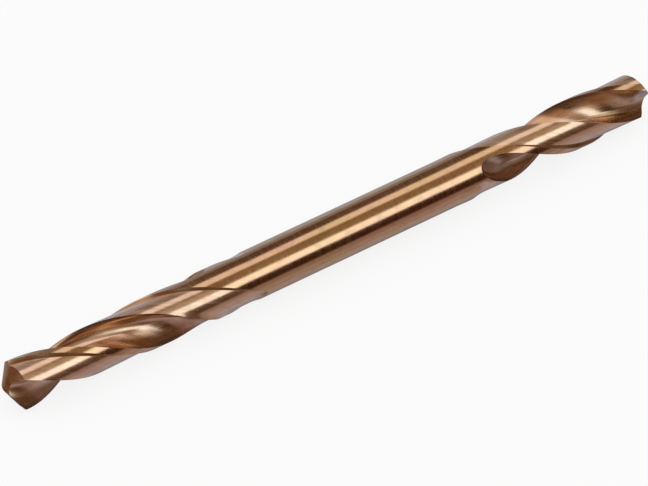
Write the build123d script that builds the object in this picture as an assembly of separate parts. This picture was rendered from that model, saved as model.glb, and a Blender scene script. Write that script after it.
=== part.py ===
from build123d import *
import math
import os

# Double-ended drill bit, millimetres.
# The drill's axis is X, +Z is up, and the origin is at mid-length on the axis.

# Lengths along the axis
overall_length = 49.0  # over the two chisel edges
left_flute_length = 15.35  # from the chisel edge to the rim of the scoop
right_flute_length = 13.9
left_clearance_length = 18.5  # from the chisel edge to where the body clearance fades out
right_clearance_length = 14.65
left_cutting_length = 16.9  # from the chisel edge to the step down to the shank
right_cutting_length = 15.0
shank_step_length = 0.6  # the short cone between the cutting part and the shank
left_runout_length = 5.3  # length over which the flute rises out of the bar
right_runout_length = 3.2
clearance_runout_length = 1.2

# Diameters and thicknesses
cutting_diameter = 3.2
shank_diameter = 3.16
web_thickness = 0.7  # of the core between the flutes
cleared_diameter_at_step = 2.72  # the body clearance, beside the margin
cleared_diameter_at_heel = 2.9  # the body clearance, at the heel
clearance_rise = 0.07  # how much shallower the body clearance is at the shank end than at the point

# Helix and flute section
helix_lead = 20.8  # one full turn, right hand
land_angle = 88.0  # from the leading edge back to the heel
margin_angle = 16.0  # raised strip behind the leading edge
step_wall_angle = 6.0  # the sloping wall between margin and cleared land
clearance_exit_angle = 35.0  # past the heel, where the body clearance would leave the bar
flute_root_radius = 0.6
flute_root_turn = 88.0  # angle of the root arc

# Ground points
point_angle = 118.0
left_lip_relief = 6.0  # angle of the flank behind the lip's outer corner
right_lip_relief = 9.0
left_flank_cone_half_angle = 52.7
right_flank_cone_half_angle = 46.9
left_flank_apex_setback = 0.61  # flank cone's apex, past the centre along the line of the lip
right_flank_apex_setback = 0.87
left_lip_roll = 54.1  # direction of the first lip about X, from +Y towards +Z
right_lip_roll = 122.6

# Modelling
flutes_per_end = 2
helix_station_spacing = 1.0
runout_stations = 8
tool_margin = 0.4  # how far a cutter reaches past the bar

cutting_radius = cutting_diameter / 2
shank_radius = shank_diameter / 2
half_web = web_thickness / 2
half_point = math.radians(point_angle / 2)
outer_radius = cutting_radius + tool_margin
twist_per_mm = 360 / helix_lead
flute_depth = cutting_radius - half_web
flute_spacing = 360 / flutes_per_end


def polar(radius, degrees):
    angle = math.radians(degrees)
    return (radius * math.cos(angle), radius * math.sin(angle))


def rake_point(along_lip):
    """Point of the cutting face's section at a distance along the lip, so that the lip comes out straight."""
    turn = along_lip / math.tan(half_point) * twist_per_mm
    return Vector(along_lip, half_web).rotate(Axis.Z, turn)


def rake_angle_at(radius):
    point = rake_point(math.sqrt(radius**2 - half_web**2))
    return math.degrees(math.atan2(point.Y, point.X))


leading_angle = rake_angle_at(cutting_radius)
heel_angle = leading_angle + flute_spacing - land_angle
flute_middle_angle = (leading_angle + heel_angle) / 2


def flute_section():
    """Transverse section of a flute: cutting face, root arc, rounded heel side, closed outside the bar."""
    lip_reach = math.sqrt(outer_radius**2 - half_web**2)
    rake = Spline(*[rake_point(lip_reach * share) for share in (1, 0.75, 0.5, 0.25, 0)])
    root = JernArc(rake @ 1, rake % 1, flute_root_radius, -flute_root_turn)
    heel_point = polar(cleared_diameter_at_heel / 2, heel_angle)
    heel_side = TangentArc(root @ 1, heel_point, tangent=root % 1)
    heel_out = Line(heel_point, polar(outer_radius, heel_angle))
    closing = ThreePointArc(heel_out @ 1, polar(outer_radius, flute_middle_angle), rake @ 0)
    return make_face([rake, root, heel_side, heel_out, closing])


def clearance_section():
    """Transverse section ground off a land behind its margin: step wall, floor, and a soft exit past the heel."""
    step_top = leading_angle - margin_angle
    step_foot = step_top - step_wall_angle
    heel = leading_angle - land_angle
    past_heel = heel - clearance_exit_angle
    foot_point = polar(cleared_diameter_at_step / 2, step_foot)
    heel_point = polar(cleared_diameter_at_heel / 2, heel)
    middle_radius = (cleared_diameter_at_step + cleared_diameter_at_heel) / 4
    wall_rise = cutting_radius - cleared_diameter_at_step / 2
    wall_top = polar(cutting_radius + wall_rise, step_top + step_wall_angle)
    wall = Line(wall_top, foot_point)
    floor = ThreePointArc(foot_point, polar(middle_radius, (step_foot + heel) / 2), heel_point)
    exit_arc = TangentArc(heel_point, polar(outer_radius, past_heel), tangent=floor % 1)
    closing = ThreePointArc(exit_arc @ 1, polar(outer_radius, (step_top + past_heel) / 2), wall_top)
    return make_face([wall, floor, exit_arc, closing])


def helical_cutter(section, lift_angle, depth, cut_length, runout_length, rise=0.0):
    """Sweep a section up the helix from the run-out's rim to past the point, rising out of the bar at the rim.

    Local frame of an end: Z outwards, the lips' virtual apex at the origin.
    """
    full_depth_z = -cut_length + runout_length
    arc_depth = depth - rise
    arc_radius = (runout_length**2 + arc_depth**2) / (2 * arc_depth)
    beyond = runout_length * (1 + 0.5 / runout_stations)
    stations = []
    for step in range(runout_stations, 0, -1):
        back = beyond * math.sin(math.pi / 2 * step / runout_stations)
        stations.append((full_depth_z - back, rise + arc_radius - math.sqrt(arc_radius**2 - back**2)))
    straight = tool_margin - full_depth_z
    count = math.ceil(straight / helix_station_spacing)
    for step in range(count + 1):
        done = step / count
        stations.append((full_depth_z + straight * done, rise * (1 - done)))
    profiles = []
    for z, lift in stations:
        x, y = polar(lift, lift_angle)
        profiles.append(Pos(0, 0, z) * Rot(0, 0, z * twist_per_mm) * Pos(x, y, 0) * section)
    return loft(profiles)


def flank_cone(end):
    """Apex, axis and half angle of the cone that holds the first lip as one of its straight lines."""
    lip = Vector(math.sin(half_point), 0, -math.cos(half_point))
    corner = math.asin(half_web / cutting_radius)
    relief = math.radians(end["lip_relief"])
    behind = Vector(math.sin(corner), -math.cos(corner), 0) * math.cos(relief) - Vector(0, 0, math.sin(relief))
    outward = behind.cross(lip).normalized()
    half_cone = math.radians(end["cone_half_angle"])
    axis = lip * math.cos(half_cone) - outward * math.sin(half_cone)
    apex = Vector(0, half_web, 0) - lip * end["apex_setback"]
    return apex, axis, half_cone


def flank_cutter(end):
    """What is ground away outside one conical flank."""
    apex, axis, half_cone = flank_cone(end)
    cone_height = 3 * cutting_diameter
    cone = Cone(cone_height * math.tan(half_cone), 0, cone_height, align=(Align.CENTER, Align.CENTER, Align.MAX))
    block = Cylinder(outer_radius, 2 * cutting_diameter)
    return block - Plane(origin=apex, z_dir=-axis) * cone


def chisel_setback(end):
    """How far the chisel edge lies behind the lips' virtual apex: the flank cone's height on the drill's axis."""
    apex, axis, half_cone = flank_cone(end)
    squared_cosine = math.cos(half_cone) ** 2
    along = -apex.dot(axis)
    a = axis.Z**2 - squared_cosine
    b = 2 * (along * axis.Z + squared_cosine * apex.Z)
    c = along**2 - squared_cosine * apex.dot(apex)
    root = math.sqrt(b**2 - 4 * a * c)
    heights = [(-b + sign * root) / (2 * a) for sign in (-1, 1)]
    return -min(heights, key=abs)


def end_cutters(end):
    """Everything cut or ground away at one end: flutes, body clearances and flanks."""
    setback = chisel_setback(end)
    flute = helical_cutter(
        flute_section(),
        flute_middle_angle,
        flute_depth,
        end["flute_length"] + setback,
        end["runout_length"],
    )
    clearance_middle = leading_angle - (margin_angle + land_angle) / 2
    clearance = helical_cutter(
        clearance_section(),
        clearance_middle,
        cutting_radius - cleared_diameter_at_step / 2,
        end["clearance_length"] + setback,
        clearance_runout_length,
        clearance_rise,
    )
    flank = flank_cutter(end)
    cutters = []
    for copy in range(flutes_per_end):
        turn = Rot(0, 0, copy * flute_spacing)
        cutters += [turn * flute, turn * clearance, turn * flank]
    return cutters


def bar():
    """The round bar before fluting: shank between two slightly larger cutting parts."""
    half = overall_length / 2 + tool_margin
    left_step = -overall_length / 2 + left_cutting_length
    right_step = overall_length / 2 - right_cutting_length
    outline = Polyline(
        (-half, 0),
        (-half, cutting_radius),
        (left_step, cutting_radius),
        (left_step + shank_step_length, shank_radius),
        (right_step - shank_step_length, shank_radius),
        (right_step, cutting_radius),
        (half, cutting_radius),
        (half, 0),
        close=True,
    )
    return revolve(make_face(outline), Axis.X)


def end_frame(end):
    """Frame of an end: Z outwards, X towards the first lip, origin at the lips' virtual apex."""
    y, z = polar(1, end["lip_roll"])
    virtual_apex = end["side"] * (overall_length / 2 + chisel_setback(end))
    return Plane(origin=(virtual_apex, 0, 0), x_dir=(0, y, z), z_dir=(end["side"], 0, 0))


left_end = {
    "side": -1,
    "flute_length": left_flute_length,
    "runout_length": left_runout_length,
    "clearance_length": left_clearance_length,
    "lip_relief": left_lip_relief,
    "cone_half_angle": left_flank_cone_half_angle,
    "apex_setback": left_flank_apex_setback,
    "lip_roll": left_lip_roll,
}
right_end = {
    "side": 1,
    "flute_length": right_flute_length,
    "runout_length": right_runout_length,
    "clearance_length": right_clearance_length,
    "lip_relief": right_lip_relief,
    "cone_half_angle": right_flank_cone_half_angle,
    "apex_setback": right_flank_apex_setback,
    "lip_roll": right_lip_roll,
}


def drill_bit():
    drill = bar()
    for end in (left_end, right_end):
        frame = end_frame(end)
        for cutter in end_cutters(end):
            drill -= frame * cutter
    return drill


os.makedirs("parts", exist_ok=True)
export_step(drill_bit(), "parts/drill_bit.step")
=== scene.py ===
import math
from functools import partial

import bpy
from mathutils import Matrix, Vector

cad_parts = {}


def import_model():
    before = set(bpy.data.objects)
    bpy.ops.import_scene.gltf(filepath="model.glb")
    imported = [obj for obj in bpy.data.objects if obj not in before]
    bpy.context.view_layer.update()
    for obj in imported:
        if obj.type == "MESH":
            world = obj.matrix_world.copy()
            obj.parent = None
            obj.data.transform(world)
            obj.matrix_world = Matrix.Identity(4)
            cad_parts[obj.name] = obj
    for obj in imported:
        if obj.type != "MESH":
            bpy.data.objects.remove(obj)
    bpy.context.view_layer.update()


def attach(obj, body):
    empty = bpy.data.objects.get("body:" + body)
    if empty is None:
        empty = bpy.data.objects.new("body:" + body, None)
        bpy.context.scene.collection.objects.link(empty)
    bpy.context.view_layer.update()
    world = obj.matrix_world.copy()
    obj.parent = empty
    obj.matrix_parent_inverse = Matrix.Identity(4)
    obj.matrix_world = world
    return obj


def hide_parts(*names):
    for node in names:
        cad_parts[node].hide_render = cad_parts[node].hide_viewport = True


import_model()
print("frame loaded")

metresPerMm = 0.001

# The drill, in mm and degrees. It lies along X with its middle at the origin and +Z up.
# Each end's lengths start at its chisel edge.
drill = {
    "overallLength": 49.0,
    "cuttingDiameter": 3.2,
    "shankDiameter": 3.16,
    "shankStep": 0.6,  # the short cone between the cutting part and the shank
    "webThickness": 0.7,
    "clearedAtStep": 2.72,  # diameter of the body clearance beside the margin
    "clearedAtHeel": 2.9,
    "clearanceRise": 0.07,  # how much shallower the clearance is at the shank end
    "clearanceRunout": 1.2,
    "clearanceExitAngle": 35.0,  # past the heel, where the clearance would leave the bar
    "helixLead": 20.8,  # one full turn, right hand
    "landAngle": 88.0,
    "marginAngle": 16.0,
    "stepWallAngle": 6.0,  # the sloping wall between margin and cleared land
    "rootRadius": 0.6,
    "rootTurn": 88.0,
    "pointAngle": 118.0,
    "flutes": 2,
    "reach": 0.4,  # how far the cutters pass the bar
    "flankBlock": 2.2,  # length of what is ground off outside a flank, in cutting diameters
}
leftEnd = {
    "name": "left",
    "side": -1,
    "cuttingLength": 16.9,
    "fluteLength": 15.35,
    "runout": 5.3,
    "clearanceLength": 18.5,
    "lipRelief": 6.0,
    "coneHalfAngle": 52.7,
    "apexSetback": 0.61,
    "lipRoll": 54.1,  # from +Y towards +Z
}
rightEnd = {
    "name": "right",
    "side": 1,
    "cuttingLength": 15.0,
    "fluteLength": 13.9,
    "runout": 3.2,
    "clearanceLength": 14.65,
    "lipRelief": 9.0,
    "coneHalfAngle": 46.9,
    "apexSetback": 0.87,
    "lipRoll": 122.6,
}
# How finely the drill's surfaces are divided
detail = {
    "aroundBar": 256,
    "aroundCone": 360,
    "stationSpacing": 0.14,
    "runoutStations": 24,
    "rakeSteps": 14,
    "rootSteps": 24,
    "heelSteps": 8,
    "wallSteps": 4,
    "floorSteps": 18,
    "exitSteps": 8,
    "closingSteps": 6,
    "straightBelow": 1e-5,  # an arc that swings less than this, in radians, is drawn straight
    "mergeDistance": 1e-5,
    "sharpAngle": 20.0,
}


# Plane geometry of the two ground sections
def polarPoint(radius, degrees):
    angle = math.radians(degrees)
    return Vector((radius * math.cos(angle), radius * math.sin(angle)))


def turnedPoint(point, angle):
    return Vector((
        point.x * math.cos(angle) - point.y * math.sin(angle),
        point.x * math.sin(angle) + point.y * math.cos(angle),
    ))


def arcByTangent(start, direction, end, steps):
    chord = end - start
    swing = math.atan2(direction.x * chord.y - direction.y * chord.x, direction.dot(chord))
    if abs(swing) < detail["straightBelow"]:
        return [start.lerp(end, k / steps) for k in range(1, steps + 1)]
    radius = chord.length / (2 * math.sin(swing))
    side = Vector((-direction.y, direction.x)).normalized()
    centre = start + side * radius
    return [centre + turnedPoint(start - centre, 2 * swing * k / steps) for k in range(1, steps + 1)]


def arcThrough(start, middle, end, steps):
    # the circle through three points gives the tangent at the start
    a = middle - start
    b = end - start
    cross = 2 * (a.x * b.y - a.y * b.x)
    toCentre = Vector((
        b.y * a.length_squared - a.y * b.length_squared,
        a.x * b.length_squared - b.x * a.length_squared,
    )) / cross
    direction = Vector((toCentre.y, -toCentre.x)).normalized()
    if direction.dot(a) < 0:
        direction = -direction
    points = arcByTangent(start, direction, end, steps)
    last = points[-1] - (start + toCentre)
    endDirection = Vector((-last.y, last.x)).normalized()
    if endDirection.dot(end - points[-2]) < 0:
        endDirection = -endDirection
    return points, endDirection


def derivedValues():
    cutRadius = drill["cuttingDiameter"] / 2
    halfWeb = drill["webThickness"] / 2
    turnPerMm = 360 / drill["helixLead"]
    turnAlongLip = turnPerMm / math.tan(math.radians(drill["pointAngle"] / 2))
    lipLength = math.sqrt(cutRadius ** 2 - halfWeb ** 2)
    leadingAngle = turnAlongLip * lipLength + math.degrees(math.asin(halfWeb / cutRadius))
    return {
        "cutRadius": cutRadius,
        "halfWeb": halfWeb,
        "outerRadius": cutRadius + drill["reach"],
        "turnPerMm": turnPerMm,
        "turnAlongLip": turnAlongLip,
        "leadingAngle": leadingAngle,
        "heelAngle": leadingAngle + 360 / drill["flutes"] - drill["landAngle"],
    }


derived = derivedValues()


def fluteSection():
    # cutting face, root arc, rounded heel side, closed outside the bar
    lipReach = math.sqrt(derived["outerRadius"] ** 2 - derived["halfWeb"] ** 2)
    points = []
    for k in range(detail["rakeSteps"] + 1):
        along = lipReach * (1 - k / detail["rakeSteps"])
        turn = math.radians(derived["turnAlongLip"] * along)
        points.append(turnedPoint(Vector((along, derived["halfWeb"])), turn))
    root = drill["rootRadius"]
    for k in range(1, detail["rootSteps"] + 1):
        turn = math.radians(drill["rootTurn"] * k / detail["rootSteps"])
        points.append(Vector((-root * math.sin(turn), derived["halfWeb"] + root - root * math.cos(turn))))
    turn = math.radians(180 - drill["rootTurn"])
    heel = polarPoint(drill["clearedAtHeel"] / 2, derived["heelAngle"])
    points += arcByTangent(points[-1], Vector((math.cos(turn), math.sin(turn))), heel, detail["heelSteps"])
    heelOut = polarPoint(derived["outerRadius"], derived["heelAngle"])
    points.append(heelOut)
    middle = polarPoint(derived["outerRadius"], (derived["leadingAngle"] + derived["heelAngle"]) / 2)
    points += arcThrough(heelOut, middle, points[0], detail["closingSteps"])[0][:-1]
    return points[::-1]


def clearanceSection():
    # step wall, floor, and a soft exit past the heel
    stepTop = derived["leadingAngle"] - drill["marginAngle"]
    stepFoot = stepTop - drill["stepWallAngle"]
    heel = derived["leadingAngle"] - drill["landAngle"]
    foot = polarPoint(drill["clearedAtStep"] / 2, stepFoot)
    heelPoint = polarPoint(drill["clearedAtHeel"] / 2, heel)
    middle = polarPoint((drill["clearedAtStep"] + drill["clearedAtHeel"]) / 4, (stepFoot + heel) / 2)
    # the wall runs on past the margin, as far as its foot is under it
    wallReach = 2 * derived["cutRadius"] - drill["clearedAtStep"] / 2
    wallTop = polarPoint(wallReach, stepTop + drill["stepWallAngle"])
    points = [wallTop.lerp(foot, k / detail["wallSteps"]) for k in range(detail["wallSteps"] + 1)]
    floor, endDirection = arcThrough(foot, middle, heelPoint, detail["floorSteps"])
    points += floor
    exitPoint = polarPoint(derived["outerRadius"], heel - drill["clearanceExitAngle"])
    points += arcByTangent(heelPoint, endDirection, exitPoint, detail["exitSteps"])
    middle = polarPoint(derived["outerRadius"], (stepTop + heel - drill["clearanceExitAngle"]) / 2)
    points += arcThrough(exitPoint, middle, wallTop, detail["closingSteps"] * 2)[0][:-1]
    return points


def flankCone(end):
    # the cone that holds the lip as one of its straight lines
    half = math.radians(drill["pointAngle"] / 2)
    lip = Vector((math.sin(half), 0, -math.cos(half)))
    corner = math.asin(derived["halfWeb"] / derived["cutRadius"])
    relief = math.radians(end["lipRelief"])
    level = Vector((math.sin(corner), -math.cos(corner), 0))
    behind = level * math.cos(relief) - Vector((0, 0, math.sin(relief)))
    outward = behind.cross(lip).normalized()
    halfCone = math.radians(end["coneHalfAngle"])
    axis = lip * math.cos(halfCone) - outward * math.sin(halfCone)
    apex = Vector((0, derived["halfWeb"], 0)) - lip * end["apexSetback"]
    return apex, axis, halfCone


def chiselSetback(end):
    # the flank cone's height on the drill's axis, below the lips' virtual apex
    apex, axis, halfCone = flankCone(end)
    squaredCosine = math.cos(halfCone) ** 2
    along = -apex.dot(axis)
    a = axis.z ** 2 - squaredCosine
    b = 2 * (along * axis.z + squaredCosine * apex.z)
    c = along ** 2 - squaredCosine * apex.dot(apex)
    root = math.sqrt(b * b - 4 * a * c)
    return -min(((-b + sign * root) / (2 * a) for sign in (-1, 1)), key=abs)


def barOutline():
    # (along the axis, radius), from the far end to the near one as a cylinder's rings run
    half = drill["overallLength"] / 2 + drill["reach"]
    leftStep = -drill["overallLength"] / 2 + leftEnd["cuttingLength"]
    rightStep = drill["overallLength"] / 2 - rightEnd["cuttingLength"]
    cut = drill["cuttingDiameter"] / 2
    shank = drill["shankDiameter"] / 2
    return [
        (half, cut), (rightStep, cut), (rightStep - drill["shankStep"], shank),
        (leftStep + drill["shankStep"], shank), (leftStep, cut), (-half, cut),
    ]


def flankOutline(end):
    # a funnel outside the flank's cone: its rings run from the mouth's rim over the outside to the apex
    top = drill["cuttingDiameter"]
    height = drill["flankBlock"] * drill["cuttingDiameter"]
    mouth = height * math.tan(math.radians(end["coneHalfAngle"]))
    wide = mouth + drill["reach"]
    return [(top, 0.0), (top, wide), (-height, wide), (-height, mouth), (0.0, 0.0)]


def outlineObject(name, points):
    mesh = bpy.data.meshes.new(name)
    edges = [(k, k + 1) for k in range(len(points) - 1)]
    mesh.from_pydata([(p[0], p[1], 0) for p in points], edges, [])
    thing = bpy.data.objects.new(name, mesh)
    bpy.context.scene.collection.objects.link(thing)
    return thing


# Small helpers for node trees
geometryKind = "NodeSocketGeometry"
numberKind = "NodeSocketFloat"
countKind = "NodeSocketInt"
vectorKind = "NodeSocketVector"
objectKind = "NodeSocketObject"
materialKind = "NodeSocketMaterial"
colourKind = "NodeSocketColor"
columnWidth = 220
rowHeight = 200


def feed(tree, source, target):
    # source is a socket, or a plain value for the target's own field
    if isinstance(source, bpy.types.NodeSocket):
        tree.links.new(source, target)
    else:
        target.default_value = source


def addNode(tree, kind, inputs=None, **settings):
    # inputs go by the socket's name or number
    made = tree.nodes.new(kind)
    for key, value in settings.items():
        setattr(made, key, value)
    for label, source in (inputs or {}).items():
        feed(tree, source, made.inputs[label])
    return made


def mathNode(tree, operation, *values, clamp=False):
    made = addNode(tree, "ShaderNodeMath", dict(enumerate(values)), operation=operation, use_clamp=clamp)
    return made.outputs[0]


def vectorNode(tree, operation, first, second):
    inputs = {0: first, "Scale" if operation == "SCALE" else 1: second}
    return addNode(tree, "ShaderNodeVectorMath", inputs, operation=operation).outputs[0]


def splitVector(tree, vector):
    return addNode(tree, "ShaderNodeSeparateXYZ", {0: vector}).outputs


def newTree(name, inputs, outputs, treeKind="GeometryNodeTree"):
    tree = bpy.data.node_groups.new(name, treeKind)
    for label, kind in outputs.items():
        tree.interface.new_socket(label, in_out="OUTPUT", socket_type=kind)
    for label, kind in inputs.items():
        tree.interface.new_socket(label, in_out="INPUT", socket_type=kind)
    start = addNode(tree, "NodeGroupInput")
    end = addNode(tree, "NodeGroupOutput")
    return tree, start.outputs, end.inputs


def arrangeNodes(tree):
    # each node stands to the left of all that it feeds
    columns = {node.name: 0 for node in tree.nodes}
    moved = True
    while moved:
        moved = False
        for link in tree.links:
            column = columns[link.to_node.name] + 1
            if columns[link.from_node.name] < column:
                columns[link.from_node.name] = column
                moved = True
    rows = dict.fromkeys(columns.values(), 0)
    for node in tree.nodes:
        column = columns[node.name]
        node.location = (-columnWidth * column, -rowHeight * rows[column])
        rows[column] += 1


def closeTree(tree, result, outputs):
    for label, source in outputs.items():
        feed(tree, source, result[label])
    arrangeNodes(tree)
    return tree


# Geometry Nodes that turn the bar and grind it
def ringAndSpoke(tree, pointCount):
    # a cylinder's vertices come ring by ring from its top
    index = addNode(tree, "GeometryNodeInputIndex").outputs[0]
    return [
        addNode(tree, "FunctionNodeIntegerMath", {0: index, 1: pointCount}, operation=operation).outputs[0]
        for operation in ("DIVIDE_FLOOR", "MODULO")
    ]


def sampledPosition(tree, geometry, index):
    position = addNode(tree, "GeometryNodeInputPosition").outputs[0]
    inputs = {"Geometry": geometry, "Value": position, "Index": index}
    sample = addNode(tree, "GeometryNodeSampleIndex", inputs, data_type="FLOAT_VECTOR", domain="POINT")
    return sample.outputs[0]


def storedRegion(tree, geometry, value):
    # which grinding made each face: 0 turned, 1 flute, 2 body clearance, 3 flank
    inputs = {"Geometry": geometry, "Name": "region", "Value": value}
    store = addNode(tree, "GeometryNodeStoreNamedAttribute", inputs, data_type="FLOAT", domain="FACE")
    return store.outputs[0]


def facing(tree, zAxis, xAxis):
    inputs = {0: zAxis, 1: xAxis}
    return addNode(
        tree, "FunctionNodeAxesToRotation", inputs, primary_axis="Z", secondary_axis="X",
    ).outputs[0]


def makeRevolveTree():
    tree, given, result = newTree(
        "Revolved Outline",
        {"Outline": geometryKind, "Rings": countKind, "Around": countKind},
        {"Mesh": geometryKind},
    )
    calc = partial(mathNode, tree)
    body = addNode(tree, "GeometryNodeMeshCylinder", {
        "Vertices": given["Around"],
        "Side Segments": calc("SUBTRACT", given["Rings"], 1.0),
    }, fill_type="NGON")
    ring, spoke = ringAndSpoke(tree, given["Around"])
    outline = splitVector(tree, sampledPosition(tree, given["Outline"], ring))
    angle = calc("MULTIPLY", calc("DIVIDE", spoke, given["Around"]), math.tau)
    place = addNode(tree, "ShaderNodeCombineXYZ", {
        "X": calc("MULTIPLY", outline["Y"], calc("COSINE", angle)),
        "Y": calc("MULTIPLY", outline["Y"], calc("SINE", angle)),
        "Z": outline["X"],
    })
    move = addNode(tree, "GeometryNodeSetPosition", {
        "Geometry": body.outputs["Mesh"],
        "Position": place.outputs[0],
    })
    merge = addNode(tree, "GeometryNodeMergeByDistance", {
        "Geometry": move.outputs[0],
        "Distance": detail["mergeDistance"],
    })
    return closeTree(tree, result, {"Mesh": merge.outputs[0]})


def makeHelicalCutterTree():
    tree, given, result = newTree(
        "Helical Cutter",
        {
            "Section": geometryKind, "Section Points": countKind, "Cut Length": numberKind,
            "Runout Length": numberKind, "Depth": numberKind, "Rise": numberKind,
            "Lift Angle": numberKind, "Turn per mm": numberKind, "Reach": numberKind,
            "Straight Stations": countKind, "Runout Stations": countKind,
        },
        {"Mesh": geometryKind},
    )
    calc = partial(mathNode, tree)
    stations = calc("ADD", given["Straight Stations"], given["Runout Stations"])
    body = addNode(tree, "GeometryNodeMeshCylinder", {
        "Vertices": given["Section Points"],
        "Side Segments": stations,
    }, fill_type="NGON")
    fromTop, spoke = ringAndSpoke(tree, given["Section Points"])
    station = calc("SUBTRACT", stations, fromTop)

    # along the axis: the share of the run-out still ahead, and of the straight cut already done
    ahead = calc("SUBTRACT", 1.0, calc("DIVIDE", station, given["Runout Stations"]), clamp=True)
    past = calc("SUBTRACT", station, given["Runout Stations"])
    done = calc("DIVIDE", past, given["Straight Stations"], clamp=True)
    beyondShare = calc("ADD", 1.0, calc("DIVIDE", 0.5, given["Runout Stations"]))
    beyond = calc("MULTIPLY", given["Runout Length"], beyondShare)
    back = calc("MULTIPLY", beyond, calc("SINE", calc("MULTIPLY", ahead, math.pi / 2)))
    full = calc("SUBTRACT", given["Runout Length"], given["Cut Length"])
    straight = calc("MULTIPLY", calc("SUBTRACT", given["Reach"], full), done)
    height = calc("ADD", calc("SUBTRACT", full, back), straight)

    # away from it: the arc on which the cutter leaves the bar, and the slow rise before that
    arcDepth = calc("SUBTRACT", given["Depth"], given["Rise"])
    squares = calc("ADD", calc("POWER", given["Runout Length"], 2.0), calc("POWER", arcDepth, 2.0))
    arcRadius = calc("DIVIDE", squares, calc("MULTIPLY", arcDepth, 2.0))
    under = calc("SUBTRACT", calc("POWER", arcRadius, 2.0), calc("POWER", back, 2.0))
    rising = calc("SUBTRACT", arcRadius, calc("SQRT", under))
    grade = calc("MULTIPLY", given["Rise"], calc("SUBTRACT", 1.0, done))
    lift = calc("ADD", rising, grade)
    lifted = addNode(tree, "ShaderNodeCombineXYZ", {
        "X": calc("MULTIPLY", lift, calc("COSINE", given["Lift Angle"])),
        "Y": calc("MULTIPLY", lift, calc("SINE", given["Lift Angle"])),
        "Z": height,
    })
    section = sampledPosition(tree, given["Section"], spoke)
    turn = addNode(tree, "ShaderNodeVectorRotate", {
        "Vector": vectorNode(tree, "ADD", section, lifted.outputs[0]),
        "Angle": calc("MULTIPLY", height, given["Turn per mm"]),
    }, rotation_type="Z_AXIS")
    move = addNode(tree, "GeometryNodeSetPosition", {
        "Geometry": body.outputs["Mesh"],
        "Position": turn.outputs[0],
    })
    split = addNode(tree, "GeometryNodeTriangulate", {0: move.outputs[0]})
    return closeTree(tree, result, {"Mesh": split.outputs[0]})


def makeBarTree(revolveTree):
    tree, given, result = newTree(
        "Round Bar",
        {"Geometry": geometryKind, "Around": countKind},
        {"Geometry": geometryKind},
    )
    size = addNode(tree, "GeometryNodeAttributeDomainSize", {0: given["Geometry"]}, component="MESH")
    body = addNode(tree, "GeometryNodeGroup", {
        "Outline": given["Geometry"],
        "Rings": size.outputs["Point Count"],
        "Around": given["Around"],
    }, node_tree=revolveTree)
    lay = addNode(tree, "GeometryNodeTransform", {
        "Geometry": body.outputs[0],
        "Rotation": facing(tree, (1, 0, 0), (0, 0, 1)),
    })
    return closeTree(tree, result, {"Geometry": storedRegion(tree, lay.outputs[0], 0.0)})


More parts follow.
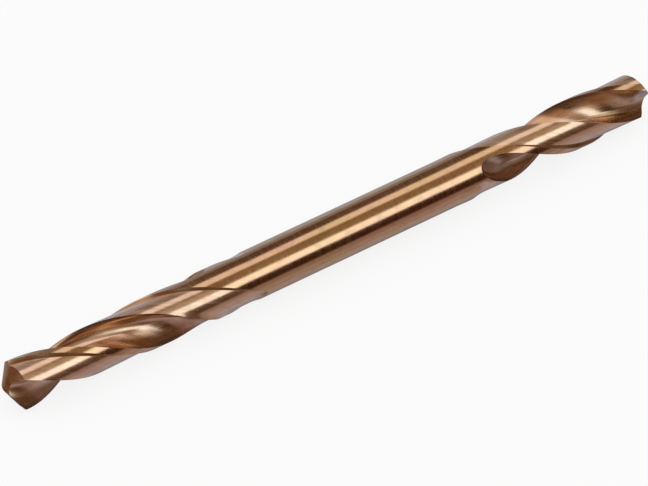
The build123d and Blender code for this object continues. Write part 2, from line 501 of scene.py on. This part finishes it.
def makeEndTree(revolveTree, cutterTree):
    # grinds one end: flutes, body clearances and the two flanks of the point
    tree, given, result = newTree(
        "Ground End",
        {
            "Geometry": geometryKind, "Flute Section": objectKind, "Clearance Section": objectKind,
            "Flank Outline": objectKind, "Flank Around": countKind, "Flute Length": numberKind,
            "Flute Runout": numberKind, "Flute Depth": numberKind, "Flute Lift Angle": numberKind,
            "Clearance Length": numberKind, "Clearance Runout": numberKind,
            "Clearance Depth": numberKind, "Clearance Rise": numberKind,
            "Clearance Lift Angle": numberKind, "Turn per mm": numberKind, "Reach": numberKind,
            "Flute Stations": countKind, "Clearance Stations": countKind,
            "Runout Stations": countKind, "Flutes": countKind, "Flank Apex": vectorKind,
            "Flank Axis": vectorKind, "Outward": vectorKind, "Lip Direction": vectorKind,
            "Virtual Apex": vectorKind,
        },
        {"Geometry": geometryKind},
    )
    stand = facing(tree, given["Outward"], given["Lip Direction"])
    grind = addNode(
        tree, "GeometryNodeMeshBoolean", {"Mesh 1": given["Geometry"]},
        operation="DIFFERENCE", solver="MANIFOLD",
    )

    def outlineOf(kind):
        info = addNode(tree, "GeometryNodeObjectInfo", {"Object": given[kind]}, transform_space="ORIGINAL")
        outline = info.outputs["Geometry"]
        size = addNode(tree, "GeometryNodeAttributeDomainSize", {0: outline}, component="MESH")
        return outline, size.outputs["Point Count"]

    def cutAway(geometry, region):
        # stands a cutter at the end's own place and takes it off the bar
        placed = addNode(tree, "GeometryNodeTransform", {
            "Geometry": geometry,
            "Translation": given["Virtual Apex"],
            "Rotation": stand,
        })
        feed(tree, storedRegion(tree, placed.outputs[0], region), grind.inputs["Mesh 2"])

    def aroundAxis(geometry):
        # one copy for each flute, evenly about the axis
        points = addNode(tree, "GeometryNodePoints", {"Count": given["Flutes"]})
        index = addNode(tree, "GeometryNodeInputIndex").outputs[0]
        share = mathNode(tree, "DIVIDE", index, given["Flutes"])
        turn = addNode(tree, "ShaderNodeCombineXYZ", {"Z": mathNode(tree, "MULTIPLY", share, math.tau)})
        copies = addNode(tree, "GeometryNodeInstanceOnPoints", {
            "Points": points.outputs[0],
            "Instance": geometry,
            "Rotation": turn.outputs[0],
        })
        return addNode(tree, "GeometryNodeRealizeInstances", {0: copies.outputs[0]}).outputs[0]

    for kind, region in (("Flute", 1.0), ("Clearance", 2.0)):
        section, pointCount = outlineOf(kind + " Section")
        cutter = addNode(tree, "GeometryNodeGroup", {
            "Section": section,
            "Section Points": pointCount,
            "Cut Length": given[kind + " Length"],
            "Runout Length": given[kind + " Runout"],
            "Depth": given[kind + " Depth"],
            "Rise": given["Clearance Rise"] if kind == "Clearance" else 0.0,
            "Lift Angle": given[kind + " Lift Angle"],
            "Turn per mm": given["Turn per mm"],
            "Reach": given["Reach"],
            "Straight Stations": given[kind + " Stations"],
            "Runout Stations": given["Runout Stations"],
        }, node_tree=cutterTree)
        cutAway(aroundAxis(cutter.outputs[0]), region)

    outline, pointCount = outlineOf("Flank Outline")
    funnel = addNode(tree, "GeometryNodeGroup", {
        "Outline": outline,
        "Rings": pointCount,
        "Around": given["Flank Around"],
    }, node_tree=revolveTree)
    first = addNode(tree, "GeometryNodeTransform", {
        "Geometry": funnel.outputs[0],
        "Translation": given["Flank Apex"],
        "Rotation": facing(tree, given["Flank Axis"], (1, 0, 0)),
    })
    second = addNode(tree, "GeometryNodeTransform", {
        "Geometry": first.outputs[0],
        "Rotation": (0, 0, math.pi),
    })
    for flank in (first, second):
        cutAway(flank.outputs[0], 3.0)
    return closeTree(tree, result, {"Geometry": grind.outputs["Mesh"]})


def makeFinishTree(regionCount):
    # sizes to metres, smooth shading with sharp edges, and a material for each grinding
    tree, given, result = newTree(
        "Drill Finish",
        {
            "Geometry": geometryKind, "Sharp Angle": numberKind, "Scale": numberKind,
            **{f"Material {k}": materialKind for k in range(regionCount)},
        },
        {"Geometry": geometryKind},
    )
    shrink = addNode(tree, "GeometryNodeTransform", {"Geometry": given["Geometry"], "Scale": given["Scale"]})
    smooth = addNode(tree, "GeometryNodeSetShadeSmooth", {"Geometry": shrink.outputs[0]}, domain="FACE")
    angle = addNode(tree, "GeometryNodeInputMeshEdgeAngle").outputs["Unsigned Angle"]
    sharp = addNode(
        tree, "FunctionNodeCompare", {0: angle, 1: given["Sharp Angle"]},
        data_type="FLOAT", operation="GREATER_THAN",
    )
    edges = addNode(tree, "GeometryNodeSetShadeSmooth", {
        "Geometry": smooth.outputs[0],
        "Selection": sharp.outputs[0],
        "Shade Smooth": False,
    }, domain="EDGE")
    geometry = addNode(tree, "GeometryNodeRealizeInstances", {0: edges.outputs[0]}).outputs[0]
    region = addNode(tree, "GeometryNodeInputNamedAttribute", {"Name": "region"}, data_type="FLOAT")
    nearEnough = 0.4  # the regions' numbers are 1 apart
    for k in range(regionCount):
        mine = addNode(
            tree, "FunctionNodeCompare", {0: region.outputs[0], 1: float(k), "Epsilon": nearEnough},
            data_type="FLOAT", operation="EQUAL",
        )
        geometry = addNode(tree, "GeometryNodeSetMaterial", {
            "Geometry": geometry,
            "Selection": mine.outputs[0],
            "Material": given[f"Material {k}"],
        }).outputs[0]
    return closeTree(tree, result, {"Geometry": geometry})


def addTree(thing, tree, values):
    # a modifier's inputs go by the socket's identifier
    modifier = thing.modifiers.new(tree.name, "NODES")
    modifier.node_group = tree
    sockets = {item.name: item.identifier for item in tree.interface.items_tree if item.in_out == "INPUT"}
    for label, value in values.items():
        modifier[sockets[label]] = value


def endInputs(end, outlines):
    # the named inputs of one end, in mm and radians
    setback = chiselSetback(end)
    apex, axis, _ = flankCone(end)
    roll = math.radians(end["lipRoll"])
    fluteLength = end["fluteLength"] + setback
    clearanceLength = end["clearanceLength"] + setback
    clearanceMiddle = derived["leadingAngle"] - (drill["marginAngle"] + drill["landAngle"]) / 2
    spacing = detail["stationSpacing"]
    return {
        "Flute Section": outlines["fluteSection"],
        "Clearance Section": outlines["clearanceSection"],
        "Flank Outline": outlines[end["name"] + "Flank"],
        "Flank Around": detail["aroundCone"],
        "Flute Length": fluteLength,
        "Flute Runout": end["runout"],
        "Flute Depth": derived["cutRadius"] - derived["halfWeb"],
        "Flute Lift Angle": math.radians((derived["leadingAngle"] + derived["heelAngle"]) / 2),
        "Clearance Length": clearanceLength,
        "Clearance Runout": drill["clearanceRunout"],
        "Clearance Depth": derived["cutRadius"] - drill["clearedAtStep"] / 2,
        "Clearance Rise": drill["clearanceRise"],
        "Clearance Lift Angle": math.radians(clearanceMiddle),
        "Turn per mm": math.radians(derived["turnPerMm"]),
        "Reach": drill["reach"],
        "Flute Stations": math.ceil((fluteLength - end["runout"]) / spacing),
        "Clearance Stations": math.ceil((clearanceLength - drill["clearanceRunout"]) / spacing),
        "Runout Stations": detail["runoutStations"],
        "Flutes": drill["flutes"],
        "Flank Apex": tuple(apex),
        "Flank Axis": tuple(-axis),
        "Outward": (float(end["side"]), 0.0, 0.0),
        "Lip Direction": (0.0, math.cos(roll), math.sin(roll)),
        "Virtual Apex": (end["side"] * (drill["overallLength"] / 2 + setback), 0.0, 0.0),
    }


def makeDrill(materials):
    outlines = {
        "fluteSection": fluteSection(),
        "clearanceSection": clearanceSection(),
        "leftFlank": flankOutline(leftEnd),
        "rightFlank": flankOutline(rightEnd),
    }
    outlines = {name: outlineObject(name, points) for name, points in outlines.items()}
    revolveTree = makeRevolveTree()
    endTree = makeEndTree(revolveTree, makeHelicalCutterTree())
    source = outlineObject("barOutline", barOutline())
    source.data.materials.append(materials[0])
    addTree(source, makeBarTree(revolveTree), {"Around": detail["aroundBar"]})
    for end in (leftEnd, rightEnd):
        addTree(source, endTree, endInputs(end, outlines))
    finish = {f"Material {k}": material for k, material in enumerate(materials)}
    finish["Sharp Angle"] = math.radians(detail["sharpAngle"])
    finish["Scale"] = metresPerMm
    addTree(source, makeFinishTree(len(materials)), finish)
    bpy.context.view_layer.update()
    ground = source.evaluated_get(bpy.context.evaluated_depsgraph_get())
    mesh = bpy.data.meshes.new_from_object(ground)
    print("drill ground,", len(mesh.polygons), "faces")
    piece = bpy.data.objects.new("fluted_drill", mesh)
    bpy.context.scene.collection.objects.link(piece)
    for thing in [source, *outlines.values()]:
        bpy.data.objects.remove(thing)
    return piece


# Marks, wear, and the painted edge highlight and painted wall shade that the four finishes share. Angles are
# in degrees, and a noise runs from 0 to 1.
wearAndPaintedLight = {
    "lineLayers": 3.0,
    "lineNoise": (0.3, 0.7),  # between these the wheel's lines go from smooth to rough
    "waveLayers": 1.0,
    "patches": (0.22, 0.8, 0.8),  # patches of the film per mm, long ones along the drill
    "patchLayers": 3.0,
    "rosyNoise": (0.5, 0.72),  # rosy where the noise is high, olive where it is low
    "oliveNoise": (0.5, 0.28),
    "dullSpots": (1.3, 2.6, 2.6),  # per mm
    "spotLayers": 4.0,
    "dullNoise": (0.45, 0.75),
    "dull": (0.05, 0.03, 0.02),
    # the painted highlight along the margins' leading edges
    "edgeGlint": (0.85, 0.70, 0.52),
    "edgeGlintLine": (0.0, 2.5),  # full up to the first angle from the edge, gone at the second
    "wallLine": (1.0, 4.2),
    "wallMiddle": 0.7,  # the painted shade line on the wall, as a share of the way down the wall
    "pitsPerMm": 1.6,
    "pitSize": 0.09,  # as a share of the distance between pits
    "pitDepth": 6.0,  # in thousandths of a mm
    "pit": (0.03, 0.018, 0.012),
}


def mixColours(tree, factor, first, second, blend="MIX"):
    made = addNode(tree, "ShaderNodeMix", {0: factor}, data_type="RGBA", blend_type=blend)
    sockets = [socket for socket in made.inputs if socket.type == "RGBA"]
    feed(tree, first, sockets[0])
    feed(tree, second, sockets[1])
    return [socket for socket in made.outputs if socket.type == "RGBA"][0]


def risingEdge(tree, value, low, high):
    # 0 below low, 1 above high, smooth between
    inputs = {"Value": value, "From Min": low, "From Max": high}
    return addNode(tree, "ShaderNodeMapRange", inputs, interpolation_type="SMOOTHSTEP").outputs["Result"]


def stretchedNoise(tree, place, stretch, layers):
    inputs = {"Vector": vectorNode(tree, "MULTIPLY", place, stretch), "Scale": 1.0, "Detail": layers}
    return addNode(tree, "ShaderNodeTexNoise", inputs).outputs[0]


def makeUnwoundGroup():
    # the place in mm, and the same place with the helix turned back, so that a flute runs straight along X
    tree, given, result = newTree(
        "Unwound Position",
        {"Lead": numberKind},
        {
            "Position": vectorKind, "Unwound": vectorKind, "Along": numberKind,
            "Angle": numberKind, "Radius": numberKind,
        },
        "ShaderNodeTree",
    )
    calc = partial(mathNode, tree)
    place = addNode(tree, "ShaderNodeTexCoord").outputs["Object"]
    inMm = vectorNode(tree, "SCALE", place, 1 / metresPerMm)
    parts = splitVector(tree, inMm)
    turns = calc("DIVIDE", parts["X"], given["Lead"])
    unwound = addNode(tree, "ShaderNodeVectorRotate", {
        "Vector": inMm,
        "Angle": calc("MULTIPLY", turns, -math.tau),
    }, rotation_type="X_AXIS").outputs[0]
    straight = splitVector(tree, unwound)
    squares = calc("ADD", calc("POWER", parts["Y"], 2.0), calc("POWER", parts["Z"], 2.0))
    return closeTree(tree, result, {
        "Position": inMm,
        "Unwound": unwound,
        "Along": parts["X"],
        "Angle": calc("DEGREES", calc("ARCTAN2", straight["Z"], straight["Y"])),
        "Radius": calc("SQRT", squares),
    })


def makeGrindingGroup():
    # fine lines along the wheel's path, and the slow waviness under them
    tree, given, result = newTree(
        "Grinding Marks",
        {
            "Vector": vectorKind, "Grain": vectorKind, "Line Depth": numberKind,
            "Wave": vectorKind, "Wave Depth": numberKind,
        },
        {"Lines": numberKind, "Height": numberKind},
        "ShaderNodeTree",
    )
    lines = stretchedNoise(tree, given["Vector"], given["Grain"], wearAndPaintedLight["lineLayers"])
    waves = stretchedNoise(tree, given["Vector"], given["Wave"], wearAndPaintedLight["waveLayers"])
    fine = mathNode(tree, "MULTIPLY", lines, given["Line Depth"])
    slow = mathNode(tree, "MULTIPLY", waves, given["Wave Depth"])
    return closeTree(tree, result, {
        "Lines": risingEdge(tree, lines, *wearAndPaintedLight["lineNoise"]),
        "Height": mathNode(tree, "ADD", fine, slow),
    })


def makeTintGroup():
    # the gold-bronze oxide film: patches a little rosier, olive or darker than the rest
    tree, given, result = newTree(
        "Oxide Tint",
        {
            "Vector": vectorKind, "Film": colourKind, "Rosy": colourKind, "Olive": colourKind,
            "Patchiness": numberKind, "Darkening": numberKind,
        },
        {"Color": colourKind},
        "ShaderNodeTree",
    )
    patches = stretchedNoise(tree, given["Vector"], wearAndPaintedLight["patches"], wearAndPaintedLight["patchLayers"])
    spots = stretchedNoise(tree, given["Vector"], wearAndPaintedLight["dullSpots"], wearAndPaintedLight["spotLayers"])
    rosy = mathNode(tree, "MULTIPLY", risingEdge(tree, patches, *wearAndPaintedLight["rosyNoise"]), given["Patchiness"])
    olive = mathNode(tree, "MULTIPLY", risingEdge(tree, patches, *wearAndPaintedLight["oliveNoise"]), given["Patchiness"])
    dull = mathNode(tree, "MULTIPLY", risingEdge(tree, spots, *wearAndPaintedLight["dullNoise"]), given["Darkening"])
    warm = mixColours(tree, rosy, given["Film"], given["Rosy"])
    tinted = mixColours(tree, olive, warm, given["Olive"])
    return closeTree(tree, result, {"Color": mixColours(tree, dull, tinted, (*wearAndPaintedLight["dull"], 1))})


def makeWindingLineGroup():
    # a thin line along an edge that winds with the flutes, at its own angle on each end
    tree, given, result = newTree(
        "Winding Line",
        {
            "Along": numberKind, "Angle": numberKind, "Left Edge": numberKind, "Right Edge": numberKind,
            "Spacing": numberKind, "Core": numberKind, "Width": numberKind,
        },
        {"Mask": numberKind},
        "ShaderNodeTree",
    )
    calc = partial(mathNode, tree)
    onRight = calc("GREATER_THAN", given["Along"], 0.0)
    span = calc("SUBTRACT", given["Right Edge"], given["Left Edge"])
    edge = calc("ADD", given["Left Edge"], calc("MULTIPLY", onRight, span))
    away = calc("SUBTRACT", given["Angle"], edge)
    folded = calc("PINGPONG", away, calc("DIVIDE", given["Spacing"], 2.0))
    outside = risingEdge(tree, folded, given["Core"], given["Width"])
    return closeTree(tree, result, {"Mask": calc("SUBTRACT", 1.0, outside)})


def makePitGroup():
    # scattered tiny pits and specks
    tree, given, result = newTree(
        "Pits",
        {"Vector": vectorKind, "Per mm": numberKind, "Size": numberKind, "Share": numberKind},
        {"Mask": numberKind},
        "ShaderNodeTree",
    )
    cells = addNode(tree, "ShaderNodeTexVoronoi", {"Vector": given["Vector"], "Scale": given["Per mm"]})
    draw = splitVector(tree, cells.outputs["Color"])["X"]
    rare = mathNode(tree, "LESS_THAN", draw, given["Share"])
    outside = risingEdge(tree, cells.outputs["Distance"], 0.0, given["Size"])
    spot = mathNode(tree, "SUBTRACT", 1.0, outside)
    return closeTree(tree, result, {"Mask": mathNode(tree, "MULTIPLY", spot, rare)})


# One finish for each grinding, in the order of the regions. Grain and wave are how often the noise repeats
# per mm along X, Y and Z, with the helix turned back where winding. Depths are in thousandths of a mm.
finishes = {
    "polished steel": {
        "film": (0.72, 0.48, 0.27), "rosy": (0.68, 0.40, 0.26), "olive": (0.67, 0.47, 0.22),
        "patchiness": 0.9, "darkening": 0.16,
        "winding": False, "grain": (9.0, 0.5, 0.5), "lineDepth": 0.3,
        "wave": (0.35, 0.8, 0.8), "waveDepth": 8.0,
        "roughness": (0.14, 0.19), "pitShare": 0.05,
        "edgeGlint": 0.25,  # how strong the painted highlight along the margins' leading edges is
    },
    "ground flute": {
        "film": (0.78, 0.57, 0.40), "rosy": (0.72, 0.49, 0.36), "olive": (0.68, 0.48, 0.28),
        "patchiness": 0.9, "darkening": 0.22,
        "winding": True, "grain": (0.5, 8.0, 8.0), "lineDepth": 2.0,
        "wave": (0.2, 0.9, 0.9), "waveDepth": 7.0,
        "roughness": (0.19, 0.28), "pitShare": 0.22,
        "sides": (0.80, 0.67, 0.52),  # painted shade: the flute's colour on its sides, as a share of that in its root
        "sidesFrom": (0.55, 0.95),  # distances from the axis
        "sidesTo": (1.15, 1.4),
        "rim": (0.68, 0.58, 0.51),  # and more painted shade along its rim
        "rimFrom": (1.2, 1.42),
    },
    "cleared land": {
        # the film and its patches: paler than the shank's, and brightened further as a painted highlight
        "film": (0.86, 0.63, 0.42), "rosy": (0.82, 0.56, 0.40), "olive": (0.80, 0.57, 0.33),
        "patchiness": 0.8, "darkening": 0.12,
        "winding": True, "grain": (0.7, 7.0, 7.0), "lineDepth": 1.4,
        "wave": (0.3, 0.8, 0.8), "waveDepth": 11.0,
        "roughness": (0.20, 0.27), "pitShare": 0.08,
        "brushed": 0.6, "brushTurn": 0.25,
        # wall: the colour of the painted shade along the step wall
        "wall": (0.44, 0.25, 0.12), "wallRoughness": 0.10,
    },
    "ground flank": {
        "film": (0.50, 0.28, 0.15), "rosy": (0.50, 0.25, 0.14), "olive": (0.40, 0.23, 0.10),
        "patchiness": 0.7, "darkening": 0.3,
        "winding": False, "grain": (1.0, 1.0, 9.0), "lineDepth": 2.0,
        "wave": (0.8, 0.8, 0.8), "waveDepth": 6.0,
        "roughness": (0.24, 0.34), "pitShare": 0.1,
    },
}


def edgeAngles(sectionAngle):
    # where an edge of the section stands once the helix is turned back: (left end, right end)
    angles = []
    for end in (leftEnd, rightEnd):
        reach = (drill["overallLength"] / 2 + chiselSetback(end)) * derived["turnPerMm"]
        angles.append(end["lipRoll"] + end["side"] * (sectionAngle - reach))
    return angles


def makeFinish(name, look, groups, leadingEdges, stepWalls):
    made = bpy.data.materials.new(name)
    made.use_nodes = True
    tree = made.node_tree
    shader = tree.nodes["Principled BSDF"]
    calc = partial(mathNode, tree)

    def place(group, inputs):
        return addNode(tree, "ShaderNodeGroup", inputs, node_tree=groups[group]).outputs

    def windingLine(angles, core, width):
        return place("windingLine", {
            "Along": where["Along"], "Angle": where["Angle"],
            "Left Edge": angles[0], "Right Edge": angles[1],
            "Spacing": 360 / drill["flutes"], "Core": core, "Width": width,
        })["Mask"]

    where = place("unwound", {"Lead": drill["helixLead"]})
    pattern = where["Unwound" if look["winding"] else "Position"]
    marks = place("grinding", {
        "Vector": pattern, "Grain": look["grain"], "Line Depth": look["lineDepth"],
        "Wave": look["wave"], "Wave Depth": look["waveDepth"],
    })
    tint = place("tint", {
        "Vector": pattern, "Patchiness": look["patchiness"], "Darkening": look["darkening"],
        **{part.capitalize(): (*look[part], 1) for part in ("film", "rosy", "olive")},
    })
    pits = place("pits", {
        "Vector": where["Position"], "Per mm": wearAndPaintedLight["pitsPerMm"],
        "Size": wearAndPaintedLight["pitSize"], "Share": look["pitShare"],
    })
    colour = mixColours(tree, pits["Mask"], tint["Color"], (*wearAndPaintedLight["pit"], 1))
    # painted highlight: a pale line along the margins' leading edges
    if "edgeGlint" in look:
        shankEdge = (drill["cuttingDiameter"] + drill["shankDiameter"]) / 4
        onMargin = calc("GREATER_THAN", where["Radius"], shankEdge)
        glintStrength = calc("MULTIPLY", onMargin, look["edgeGlint"])
        glintAmount = calc("MULTIPLY", windingLine(leadingEdges, *wearAndPaintedLight["edgeGlintLine"]), glintStrength)
        colour = mixColours(tree, glintAmount, colour, (*wearAndPaintedLight["edgeGlint"], 1))
    # painted shade: the flute darker on its sides, and darker still along its rim
    if "sides" in look:
        outOfRoot = risingEdge(tree, where["Radius"], *look["sidesFrom"])
        nearRim = risingEdge(tree, where["Radius"], *look["sidesTo"])
        sideShade = calc("SUBTRACT", outOfRoot, nearRim)
        colour = mixColours(tree, sideShade, colour, (*look["sides"], 1), "MULTIPLY")
        rimShade = risingEdge(tree, where["Radius"], *look["rimFrom"])
        colour = mixColours(tree, rimShade, colour, (*look["rim"], 1), "MULTIPLY")
    low, high = look["roughness"]
    rough = calc("ADD", calc("MULTIPLY", marks["Lines"], high - low), low)
    if "wall" in look:
        # painted shade: a dark line along the wall up to the margin, which is also rougher
        wall = windingLine(stepWalls, *wearAndPaintedLight["wallLine"])
        colour = mixColours(tree, wall, colour, (*look["wall"], 1))
        rough = calc("ADD", rough, calc("MULTIPLY", wall, look["wallRoughness"]))
    if "brushed" in look:
        shader.inputs["Anisotropic"].default_value = look["brushed"]
        shader.inputs["Anisotropic Rotation"].default_value = look["brushTurn"]
        tangent = addNode(tree, "ShaderNodeTangent", direction_type="RADIAL", axis="X")
        feed(tree, tangent.outputs[0], shader.inputs["Tangent"])
    deep = calc("MULTIPLY", pits["Mask"], wearAndPaintedLight["pitDepth"])
    bump = addNode(tree, "ShaderNodeBump", {
        "Distance": metresPerMm / 1000,
        "Height": calc("SUBTRACT", marks["Height"], deep),
    })
    shader.inputs["Metallic"].default_value = 1
    feed(tree, colour, shader.inputs["Base Color"])
    feed(tree, rough, shader.inputs["Roughness"])
    feed(tree, bump.outputs[0], shader.inputs["Normal"])
    arrangeNodes(tree)
    return made


def makeFinishes():
    groups = {
        "unwound": makeUnwoundGroup(),
        "grinding": makeGrindingGroup(),
        "tint": makeTintGroup(),
        "windingLine": makeWindingLineGroup(),
        "pits": makePitGroup(),
    }
    wallAngle = derived["leadingAngle"] - drill["marginAngle"] - wearAndPaintedLight["wallMiddle"] * drill["stepWallAngle"]
    leadingEdges = edgeAngles(derived["leadingAngle"])
    stepWalls = edgeAngles(wallAngle)
    return [makeFinish(name, look, groups, leadingEdges, stepWalls) for name, look in finishes.items()]


materials = makeFinishes()
print("finishes made")
drillPiece = makeDrill(materials)
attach(drillPiece, "root")
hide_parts("drill_bit")
print("drill made")

# Floor: close to white for the camera, with the drill's shadow, and left out of reflections
floorLook = {
    "half": 0.6,  # metres
    "colour": (0.8, 0.8, 0.8),
    "white": 0.85,  # share of pure white over the lit floor
}


def makeFloor():
    half = floorLook["half"]
    height = -drill["cuttingDiameter"] / 2 * metresPerMm
    mesh = bpy.data.meshes.new("floor")
    corners = [(-half, -half), (half, -half), (half, half), (-half, half)]
    mesh.from_pydata([(x, y, height) for x, y in corners], [], [(0, 1, 2, 3)])
    made = bpy.data.objects.new("floor", mesh)
    bpy.context.scene.collection.objects.link(made)
    made.visible_glossy = False
    paint = bpy.data.materials.new("floor")
    paint.use_nodes = True
    mesh.materials.append(paint)
    tree = paint.node_tree
    lit = tree.nodes["Principled BSDF"]
    lit.inputs["Base Color"].default_value = (*floorLook["colour"], 1)
    lit.inputs["Roughness"].default_value = 1
    lit.inputs["Specular IOR Level"].default_value = 0
    white = addNode(tree, "ShaderNodeEmission")
    path = addNode(tree, "ShaderNodeLightPath")
    blend = addNode(tree, "ShaderNodeMixShader", {
        0: mathNode(tree, "MULTIPLY", path.outputs["Is Camera Ray"], floorLook["white"]),
        1: lit.outputs[0],
        2: white.outputs[0],
    })
    feed(tree, blend.outputs[0], tree.nodes["Material Output"].inputs["Surface"])
    arrangeNodes(tree)
    return made


floor = makeFloor()
print("floor laid")

# Studio: long soft boxes and dark screens parallel to the drill, seen only in reflections.
# Angles run about the drill's axis from +Y towards +Z, and reach is how far along +X they go, as a sine.
studio = {
    "backdrop": (1.0, 1.0, 1.0),  # what lights the drill and the floor, and the camera sees
    "roomLight": 1.0,
    "dark": (0.085, 0.030, 0.006),  # between the boxes
    "edge": 9.0,  # degrees over which a box fades at its long sides
    "reachEdge": 0.13,  # and at its ends
    "boxes": [
        # from, to, reach from, reach to, colour
        (-47, 14, -0.6, 0.57, (0.46, 0.50, 0.64)),  # back wall
        (14, 31, -0.6, 0.57, (0.30, 0.26, 0.32)),
        (25, 67, -0.45, 0.36, (0.92, 0.88, 0.92)),  # cream box above, wider at the far end
        (67, 94, -0.45, 0.57, (1.06, 0.96, 1.00)),
        (33, 94, 0.60, 0.74, (0.24, 0.12, 0.05)),
        (94, 127, -0.2, 0.3, (0.52, 0.36, 0.26)),
        (94, 127, 0.30, 0.74, (0.27, 0.165, 0.08)),
        (128, 158, 0.05, 0.58, (1.48, 1.54, 1.68)),  # key box
        (103, 135, 0.54, 0.70, (1.05, 1.02, 0.98)),
        (158, 193, -0.1, 2.0, (0.17, 0.09, 0.045)),  # brown screen, black at the shank's place
        (158, 172, -0.1, 0.28, (0.55, 0.42, 0.33)),
        (158, 193, 0.34, 0.54, (0.040, 0.010, 0.001)),
        (170, 228, -0.14, 0.12, (0.34, 0.22, 0.14)),
        (193, 210, 0.05, 0.66, (0.34, 0.25, 0.25)),
        (210, 234, 0.05, 0.66, (0.42, 0.34, 0.37)),  # table in front
        (234, 270, 0.28, 0.64, (0.43, 0.41, 0.50)),
        (270, 313, 0.1, 0.64, (0.30, 0.31, 0.40)),
        (190, 275, 0.64, 2.0, (0.21, 0.165, 0.165)),
        (60, 193, 0.80, 2.0, (0.115, 0.073, 0.058)),
        (-47, 60, -2.0, -0.6, (0.26, 0.15, 0.09)),  # the room past the left end
        (60, 94, -2.0, -0.45, (1.00, 0.92, 0.96)),
        (94, 150, -2.0, -0.55, (0.30, 0.20, 0.12)),
        (150, 190, -2.0, -0.5, (0.95, 0.90, 0.88)),
        (190, 313, -2.0, -0.5, (0.42, 0.38, 0.42)),
    ],
}


def makeStudio():
    world = bpy.data.worlds.new("studio")
    bpy.context.scene.world = world
    world.use_nodes = True
    tree = world.node_tree
    tree.nodes.clear()
    calc = partial(mathNode, tree)
    direction = splitVector(tree, addNode(tree, "ShaderNodeTexCoord").outputs["Generated"])
    seam = studio["boxes"][0][0]
    around = calc("ARCTAN2", direction["Z"], direction["Y"])
    turns = calc("DIVIDE", calc("SUBTRACT", around, math.radians(seam)), math.tau)
    heading = calc("MULTIPLY", calc("FRACT", turns), 360.0)

    def past(value, edge, width):
        return risingEdge(tree, value, edge - width / 2, edge + width / 2)

    def before(value, edge, width):
        return calc("SUBTRACT", 1.0, past(value, edge, width))

    # each box lies over those before it, and has no soft side at the seam or beyond the drill's ends
    reflected = (*studio["dark"], 1)
    for low, high, left, right, colour in studio["boxes"]:
        masks = []
        if low > seam:
            masks.append(past(heading, low - seam, studio["edge"]))
        if left > -1:
            masks.append(past(direction["X"], left, studio["reachEdge"]))
        if high < seam + 360:
            masks.append(before(heading, high - seam, studio["edge"]))
        if right < 1:
            masks.append(before(direction["X"], right, studio["reachEdge"]))
        mask = masks[0]
        for other in masks[1:]:
            mask = calc("MULTIPLY", mask, other)
        reflected = mixColours(tree, mask, reflected, (*colour, 1))
    path = addNode(tree, "ShaderNodeLightPath")
    room = addNode(tree, "ShaderNodeBackground", {
        "Color": (*studio["backdrop"], 1),
        "Strength": studio["roomLight"],
    })
    boxes = addNode(tree, "ShaderNodeBackground", {"Color": reflected})
    either = addNode(tree, "ShaderNodeMixShader", {
        0: path.outputs["Is Glossy Ray"],
        1: room.outputs[0],
        2: boxes.outputs[0],
    })
    addNode(tree, "ShaderNodeOutputWorld", {0: either.outputs[0]})
    arrangeNodes(tree)


makeStudio()
print("studio lit")

# Camera, in mm and degrees
view = {
    "azimuth": -35.561,
    "elevation": 41.087,
    "distance": 425.4,
    "aimAlong": -0.67,  # the point of the drill's axis that it aims at
    "moveRight": -0.18,  # in the photograph's pixels, to put that point where it lies there
    "moveUp": -2.12,
    "pixelsPerMm": 16.1,
    "lens": 380.6,
    "sensor": 36.0,
    "clip": (10.0, 10000.0),
}


def makeCamera():
    azimuth = math.radians(view["azimuth"])
    elevation = math.radians(view["elevation"])
    level = math.cos(elevation)
    forward = Vector((-math.sin(azimuth) * level, math.cos(azimuth) * level, -math.sin(elevation)))
    right = Vector((math.cos(azimuth), math.sin(azimuth), 0))
    up = right.cross(forward)
    place = Vector((view["aimAlong"], 0, 0)) - forward * view["distance"]
    for direction, pixels in ((right, view["moveRight"]), (up, view["moveUp"])):
        place = place + direction * (pixels / view["pixelsPerMm"])
    data = bpy.data.cameras.new("camera")
    data.lens = view["lens"]
    data.sensor_width = view["sensor"]
    data.clip_start, data.clip_end = (distance * metresPerMm for distance in view["clip"])
    camera = bpy.data.objects.new("camera", data)
    bpy.context.scene.collection.objects.link(camera)
    camera.location = place * metresPerMm
    camera.rotation_euler = Matrix((right, up, -forward)).transposed().to_euler()
    bpy.context.scene.camera = camera


makeCamera()
bpy.context.scene.view_settings.view_transform = "Standard"
print("camera set")

bpy.context.view_layer.update()
